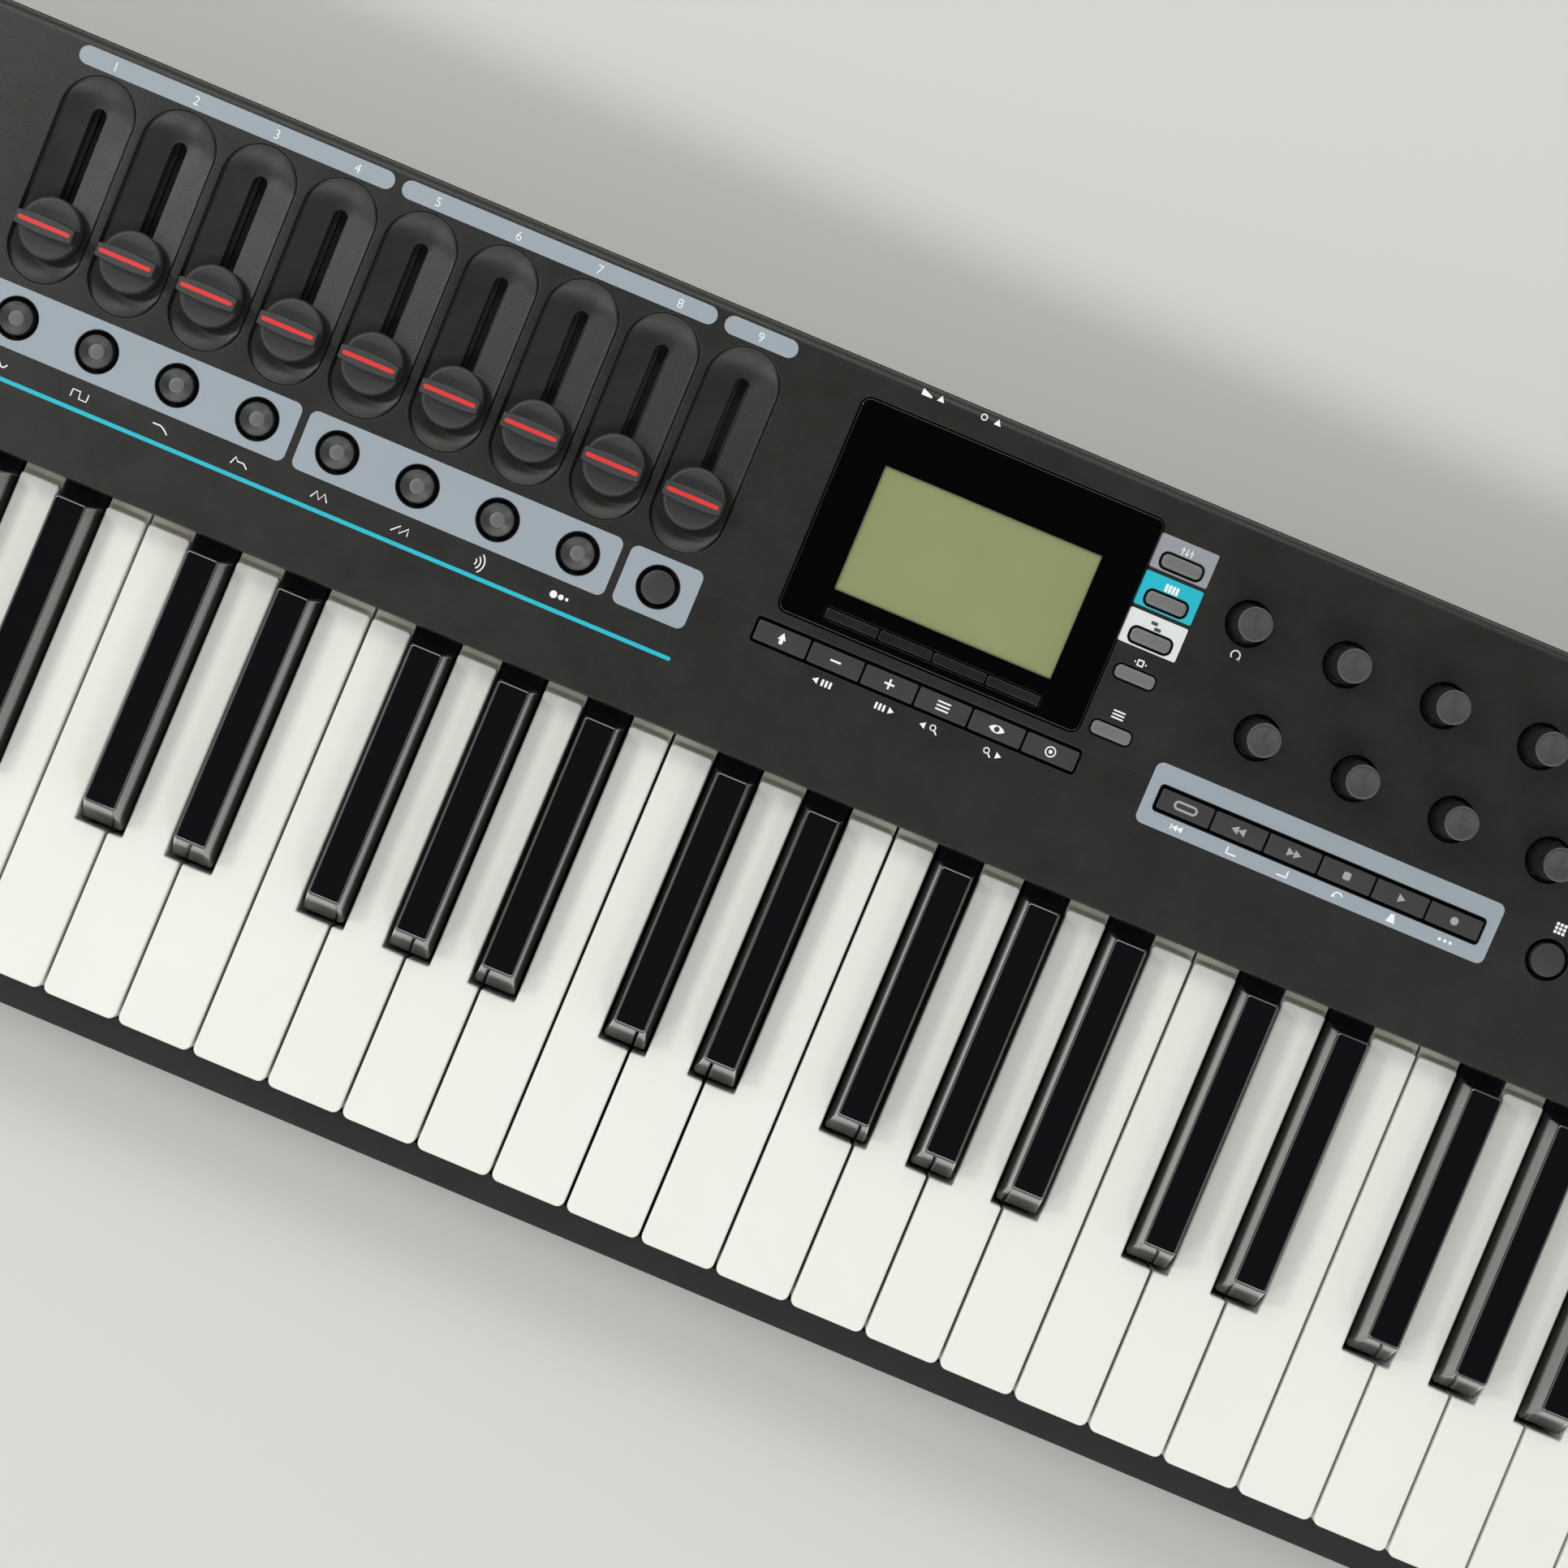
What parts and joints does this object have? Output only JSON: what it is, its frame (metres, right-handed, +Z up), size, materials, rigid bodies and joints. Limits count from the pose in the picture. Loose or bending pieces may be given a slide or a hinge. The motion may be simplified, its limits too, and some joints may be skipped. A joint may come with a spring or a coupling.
{
  "type": "keyboard synthesizer controller",
  "caption": "Tabletop keyboard synthesizer with piano-style keys, faders, knobs, display, transport buttons, drum pads and two performance wheels.",
  "frame": {"origin": "on the table, at the centre of the instrument's outline", "axes": "+X along the keys to the player's right, +Y away from the player towards the sockets, +Z up"},
  "size_m": [0.8, 0.27, 0.0927],
  "materials": {
    "case": "fine moulded grain, satin",
    "panel": "leather-like moulded grain, satin",
    "white_key": "smooth, low gloss",
    "black_key": "polished",
    "frame": "unpainted moulding",
    "board": "solder mask",
    "cap": "soft satin",
    "button": "satin",
    "grey_button": "translucent satin",
    "pad": "matt silicone",
    "bezel": "polished",
    "screen": "display glass over a reflective layer",
    "rubber": "matt"
  },
  "bodies": {
    "root": {"bottom_case": "case", "top_panel": "panel", "keybed_frame": "frame", "key_contact_board": "board", "main_board": "board", "panel_board": "board", "display_bezel": "bezel", "lcd_module": "screen", "foot_front_left": "rubber", "foot_front_right": "rubber", "foot_rear_left": "rubber", "foot_rear_right": "rubber"},
    "keys_c_e_g_b_1": {"keys_c_e_g_b_1": "white_key"},
    "keys_d_f_a_1": {"keys_d_f_a_1": "white_key"},
    "keys_black_1": {"keys_black_1": "black_key"},
    "keys_c_e_g_b_2": {"keys_c_e_g_b_2": "white_key"},
    "keys_d_f_a_2": {"keys_d_f_a_2": "white_key"},
    "keys_black_2": {"keys_black_2": "black_key"},
    "key_c_3": {"key_c_3": "white_key"},
    "key_c_sharp_3": {"key_c_sharp_3": "black_key"},
    "key_d_3": {"key_d_3": "white_key"},
    "key_d_sharp_3": {"key_d_sharp_3": "black_key"},
    "key_e_3": {"key_e_3": "white_key"},
    "key_f_3": {"key_f_3": "white_key"},
    "key_f_sharp_3": {"key_f_sharp_3": "black_key"},
    "key_g_3": {"key_g_3": "white_key"},
    "key_g_sharp_3": {"key_g_sharp_3": "black_key"},
    "key_a_3": {"key_a_3": "white_key"},
    "key_a_sharp_3": {"key_a_sharp_3": "black_key"},
    "key_b_3": {"key_b_3": "white_key"},
    "keys_c_e_g_b_4": {"keys_c_e_g_b_4": "white_key"},
    "keys_d_f_a_4": {"keys_d_f_a_4": "white_key"},
    "keys_black_4": {"keys_black_4": "black_key"},
    "fader_cap_1": {"fader_cap_1": "cap"},
    "fader_cap_2": {"fader_cap_2": "cap"},
    "fader_cap_3": {"fader_cap_3": "cap"},
    "fader_cap_4": {"fader_cap_4": "cap"},
    "fader_cap_5": {"fader_cap_5": "cap"},
    "fader_cap_6": {"fader_cap_6": "cap"},
    "fader_cap_7": {"fader_cap_7": "cap"},
    "fader_cap_8": {"fader_cap_8": "cap"},
    "fader_cap_9": {"fader_cap_9": "cap"},
    "encoder_knob_1": {"encoder_knob_1": "cap"},
    "encoder_knob_2": {"encoder_knob_2": "cap"},
    "encoder_knob_3": {"encoder_knob_3": "cap"},
    "encoder_knob_4": {"encoder_knob_4": "cap"},
    "encoder_knob_5": {"encoder_knob_5": "cap"},
    "encoder_knob_6": {"encoder_knob_6": "cap"},
    "encoder_knob_7": {"encoder_knob_7": "cap"},
    "encoder_knob_8": {"encoder_knob_8": "cap"},
    "pitch_wheel": {"pitch_wheel": "cap"},
    "mod_wheel": {"mod_wheel": "cap"},
    "round_button_pad": {"round_button_pad": "button"},
    "soft_key_pad": {"soft_key_pad": "button"},
    "row_button_pad": {"row_button_pad": "button"},
    "transport_button_pad": {"transport_button_pad": "button"},
    "mode_button_pad": {"mode_button_pad": "grey_button"},
    "drum_pad_sheet": {"drum_pad_sheet": "pad"},
    "octave_button_pad": {"octave_button_pad": "grey_button"},
    "power_rocker": {"power_rocker": "button"}
  },
  "joints": [
    {"name": "keys_c_e_g_b_1_press", "type": "hinge", "parent": "root", "child": "keys_c_e_g_b_1", "pos_m": [0, 0.047, 0.05], "axis": [1, 0, 0], "range_deg": [0, 3.4], "stiffness_Nm_per_rad": 1.2, "springref_deg": -17.19},
    {"name": "keys_d_f_a_1_press", "type": "hinge", "parent": "root", "child": "keys_d_f_a_1", "pos_m": [0, 0.047, 0.05], "axis": [1, 0, 0], "range_deg": [0, 3.4], "stiffness_Nm_per_rad": 0.9, "springref_deg": -17.19},
    {"name": "keys_black_1_press", "type": "hinge", "parent": "root", "child": "keys_black_1", "pos_m": [0, 0.047, 0.05], "axis": [1, 0, 0], "range_deg": [0, 4], "stiffness_Nm_per_rad": 1.5, "springref_deg": -17.19},
    {"name": "keys_c_e_g_b_2_press", "type": "hinge", "parent": "root", "child": "keys_c_e_g_b_2", "pos_m": [0, 0.047, 0.05], "axis": [1, 0, 0], "range_deg": [0, 3.4], "stiffness_Nm_per_rad": 1.2, "springref_deg": -17.19},
    {"name": "keys_d_f_a_2_press", "type": "hinge", "parent": "root", "child": "keys_d_f_a_2", "pos_m": [0, 0.047, 0.05], "axis": [1, 0, 0], "range_deg": [0, 3.4], "stiffness_Nm_per_rad": 0.9, "springref_deg": -17.19},
    {"name": "keys_black_2_press", "type": "hinge", "parent": "root", "child": "keys_black_2", "pos_m": [0, 0.047, 0.05], "axis": [1, 0, 0], "range_deg": [0, 4], "stiffness_Nm_per_rad": 1.5, "springref_deg": -17.19},
    {"name": "key_c_3_press", "type": "hinge", "parent": "root", "child": "key_c_3", "pos_m": [0, 0.047, 0.05], "axis": [1, 0, 0], "range_deg": [0, 3.4], "stiffness_Nm_per_rad": 0.3, "springref_deg": -17.19},
    {"name": "key_c_sharp_3_press", "type": "hinge", "parent": "root", "child": "key_c_sharp_3", "pos_m": [0, 0.047, 0.05], "axis": [1, 0, 0], "range_deg": [0, 4], "stiffness_Nm_per_rad": 0.3, "springref_deg": -17.19},
    {"name": "key_d_3_press", "type": "hinge", "parent": "root", "child": "key_d_3", "pos_m": [0, 0.047, 0.05], "axis": [1, 0, 0], "range_deg": [0, 3.4], "stiffness_Nm_per_rad": 0.3, "springref_deg": -17.19},
    {"name": "key_d_sharp_3_press", "type": "hinge", "parent": "root", "child": "key_d_sharp_3", "pos_m": [0, 0.047, 0.05], "axis": [1, 0, 0], "range_deg": [0, 4], "stiffness_Nm_per_rad": 0.3, "springref_deg": -17.19},
    {"name": "key_e_3_press", "type": "hinge", "parent": "root", "child": "key_e_3", "pos_m": [0, 0.047, 0.05], "axis": [1, 0, 0], "range_deg": [0, 3.4], "stiffness_Nm_per_rad": 0.3, "springref_deg": -17.19},
    {"name": "key_f_3_press", "type": "hinge", "parent": "root", "child": "key_f_3", "pos_m": [0, 0.047, 0.05], "axis": [1, 0, 0], "range_deg": [0, 3.4], "stiffness_Nm_per_rad": 0.3, "springref_deg": -17.19},
    {"name": "key_f_sharp_3_press", "type": "hinge", "parent": "root", "child": "key_f_sharp_3", "pos_m": [0, 0.047, 0.05], "axis": [1, 0, 0], "range_deg": [0, 4], "stiffness_Nm_per_rad": 0.3, "springref_deg": -17.19},
    {"name": "key_g_3_press", "type": "hinge", "parent": "root", "child": "key_g_3", "pos_m": [0, 0.047, 0.05], "axis": [1, 0, 0], "range_deg": [0, 3.4], "stiffness_Nm_per_rad": 0.3, "springref_deg": -17.19},
    {"name": "key_g_sharp_3_press", "type": "hinge", "parent": "root", "child": "key_g_sharp_3", "pos_m": [0, 0.047, 0.05], "axis": [1, 0, 0], "range_deg": [0, 4], "stiffness_Nm_per_rad": 0.3, "springref_deg": -17.19},
    {"name": "key_a_3_press", "type": "hinge", "parent": "root", "child": "key_a_3", "pos_m": [0, 0.047, 0.05], "axis": [1, 0, 0], "range_deg": [0, 3.4], "stiffness_Nm_per_rad": 0.3, "springref_deg": -17.19},
    {"name": "key_a_sharp_3_press", "type": "hinge", "parent": "root", "child": "key_a_sharp_3", "pos_m": [0, 0.047, 0.05], "axis": [1, 0, 0], "range_deg": [0, 4], "stiffness_Nm_per_rad": 0.3, "springref_deg": -17.19},
    {"name": "key_b_3_press", "type": "hinge", "parent": "root", "child": "key_b_3", "pos_m": [0, 0.047, 0.05], "axis": [1, 0, 0], "range_deg": [0, 3.4], "stiffness_Nm_per_rad": 0.3, "springref_deg": -17.19},
    {"name": "keys_c_e_g_b_4_press", "type": "hinge", "parent": "root", "child": "keys_c_e_g_b_4", "pos_m": [0, 0.047, 0.05], "axis": [1, 0, 0], "range_deg": [0, 3.4], "stiffness_Nm_per_rad": 1.5, "springref_deg": -17.19},
    {"name": "keys_d_f_a_4_press", "type": "hinge", "parent": "root", "child": "keys_d_f_a_4", "pos_m": [0, 0.047, 0.05], "axis": [1, 0, 0], "range_deg": [0, 3.4], "stiffness_Nm_per_rad": 0.9, "springref_deg": -17.19},
    {"name": "keys_black_4_press", "type": "hinge", "parent": "root", "child": "keys_black_4", "pos_m": [0, 0.047, 0.05], "axis": [1, 0, 0], "range_deg": [0, 4], "stiffness_Nm_per_rad": 1.5, "springref_deg": -17.19},
    {"name": "fader_1_slide", "type": "slide", "parent": "root", "child": "fader_cap_1", "axis": [0, 0.9976, 0.0698], "range_m": [-0.0035, 0.0335]},
    {"name": "fader_2_slide", "type": "slide", "parent": "root", "child": "fader_cap_2", "axis": [0, 0.9976, 0.0698], "range_m": [-0.0035, 0.0335]},
    {"name": "fader_3_slide", "type": "slide", "parent": "root", "child": "fader_cap_3", "axis": [0, 0.9976, 0.0698], "range_m": [-0.0035, 0.0335]},
    {"name": "fader_4_slide", "type": "slide", "parent": "root", "child": "fader_cap_4", "axis": [0, 0.9976, 0.0698], "range_m": [-0.0035, 0.0335]},
    {"name": "fader_5_slide", "type": "slide", "parent": "root", "child": "fader_cap_5", "axis": [0, 0.9976, 0.0698], "range_m": [-0.0035, 0.0335]},
    {"name": "fader_6_slide", "type": "slide", "parent": "root", "child": "fader_cap_6", "axis": [0, 0.9976, 0.0698], "range_m": [-0.0035, 0.0335]},
    {"name": "fader_7_slide", "type": "slide", "parent": "root", "child": "fader_cap_7", "axis": [0, 0.9976, 0.0698], "range_m": [-0.0035, 0.0335]},
    {"name": "fader_8_slide", "type": "slide", "parent": "root", "child": "fader_cap_8", "axis": [0, 0.9976, 0.0698], "range_m": [-0.0035, 0.0335]},
    {"name": "fader_9_slide", "type": "slide", "parent": "root", "child": "fader_cap_9", "axis": [0, 0.9976, 0.0698], "range_m": [-0.0035, 0.0335]},
    {"name": "encoder_1_turn", "type": "hinge", "parent": "root", "child": "encoder_knob_1", "pos_m": [0.1692, 0.1064, 0.07743], "axis": [0, -0.0698, 0.9976], "continuous": true},
    {"name": "encoder_2_turn", "type": "hinge", "parent": "root", "child": "encoder_knob_2", "pos_m": [0.1992, 0.1064, 0.07743], "axis": [0, -0.0698, 0.9976], "continuous": true},
    {"name": "encoder_3_turn", "type": "hinge", "parent": "root", "child": "encoder_knob_3", "pos_m": [0.2292, 0.1064, 0.07743], "axis": [0, -0.0698, 0.9976], "continuous": true},
    {"name": "encoder_4_turn", "type": "hinge", "parent": "root", "child": "encoder_knob_4", "pos_m": [0.2592, 0.1064, 0.07743], "axis": [0, -0.0698, 0.9976], "continuous": true},
    {"name": "encoder_5_turn", "type": "hinge", "parent": "root", "child": "encoder_knob_5", "pos_m": [0.1842, 0.0776, 0.07541], "axis": [0, -0.0698, 0.9976], "continuous": true},
    {"name": "encoder_6_turn", "type": "hinge", "parent": "root", "child": "encoder_knob_6", "pos_m": [0.2142, 0.0776, 0.07541], "axis": [0, -0.0698, 0.9976], "continuous": true},
    {"name": "encoder_7_turn", "type": "hinge", "parent": "root", "child": "encoder_knob_7", "pos_m": [0.2442, 0.0776, 0.07541], "axis": [0, -0.0698, 0.9976], "continuous": true},
    {"name": "encoder_8_turn", "type": "hinge", "parent": "root", "child": "encoder_knob_8", "pos_m": [0.2742, 0.0776, 0.07541], "axis": [0, -0.0698, 0.9976], "continuous": true},
    {"name": "pitch_wheel_turn", "type": "hinge", "parent": "root", "child": "pitch_wheel", "pos_m": [-0.37, -0.06109, 0.05268], "axis": [-1, 0, 0], "range_deg": [-35, 35], "stiffness_Nm_per_rad": 0.06},
    {"name": "mod_wheel_turn", "type": "hinge", "parent": "root", "child": "mod_wheel", "pos_m": [-0.332, -0.06109, 0.05268], "axis": [-1, 0, 0], "range_deg": [0, 70]},
    {"name": "round_button_pad_press", "type": "slide", "parent": "root", "child": "round_button_pad", "axis": [0, 0.0698, -0.9976], "range_m": [0, 0.001], "stiffness_N_per_m": 1500, "springref_m": -0.001},
    {"name": "soft_key_pad_press", "type": "slide", "parent": "root", "child": "soft_key_pad", "axis": [0, 0.0698, -0.9976], "range_m": [0, 0.0006], "stiffness_N_per_m": 800, "springref_m": -0.001},
    {"name": "row_button_pad_press", "type": "slide", "parent": "root", "child": "row_button_pad", "axis": [0, 0.0698, -0.9976], "range_m": [0, 0.001], "stiffness_N_per_m": 1200, "springref_m": -0.001},
    {"name": "transport_button_pad_press", "type": "slide", "parent": "root", "child": "transport_button_pad", "axis": [0, 0.0698, -0.9976], "range_m": [0, 0.001], "stiffness_N_per_m": 1500, "springref_m": -0.001},
    {"name": "mode_button_pad_press", "type": "slide", "parent": "root", "child": "mode_button_pad", "axis": [0, 0.0698, -0.9976], "range_m": [0, 0.001], "stiffness_N_per_m": 1000, "springref_m": -0.001},
    {"name": "drum_pad_sheet_press", "type": "slide", "parent": "root", "child": "drum_pad_sheet", "axis": [0, 0.0698, -0.9976], "range_m": [0, 0.001], "stiffness_N_per_m": 4000, "springref_m": -0.001},
    {"name": "octave_button_pad_press", "type": "slide", "parent": "root", "child": "octave_button_pad", "axis": [0, 0.0698, -0.9976], "range_m": [0, 0.001], "stiffness_N_per_m": 1200, "springref_m": -0.001},
    {"name": "power_rocker_tilt", "type": "hinge", "parent": "root", "child": "power_rocker", "pos_m": [0.171, 0.127, 0.045], "axis": [1, 0, 0], "range_deg": [0, 9]}
  ]
}
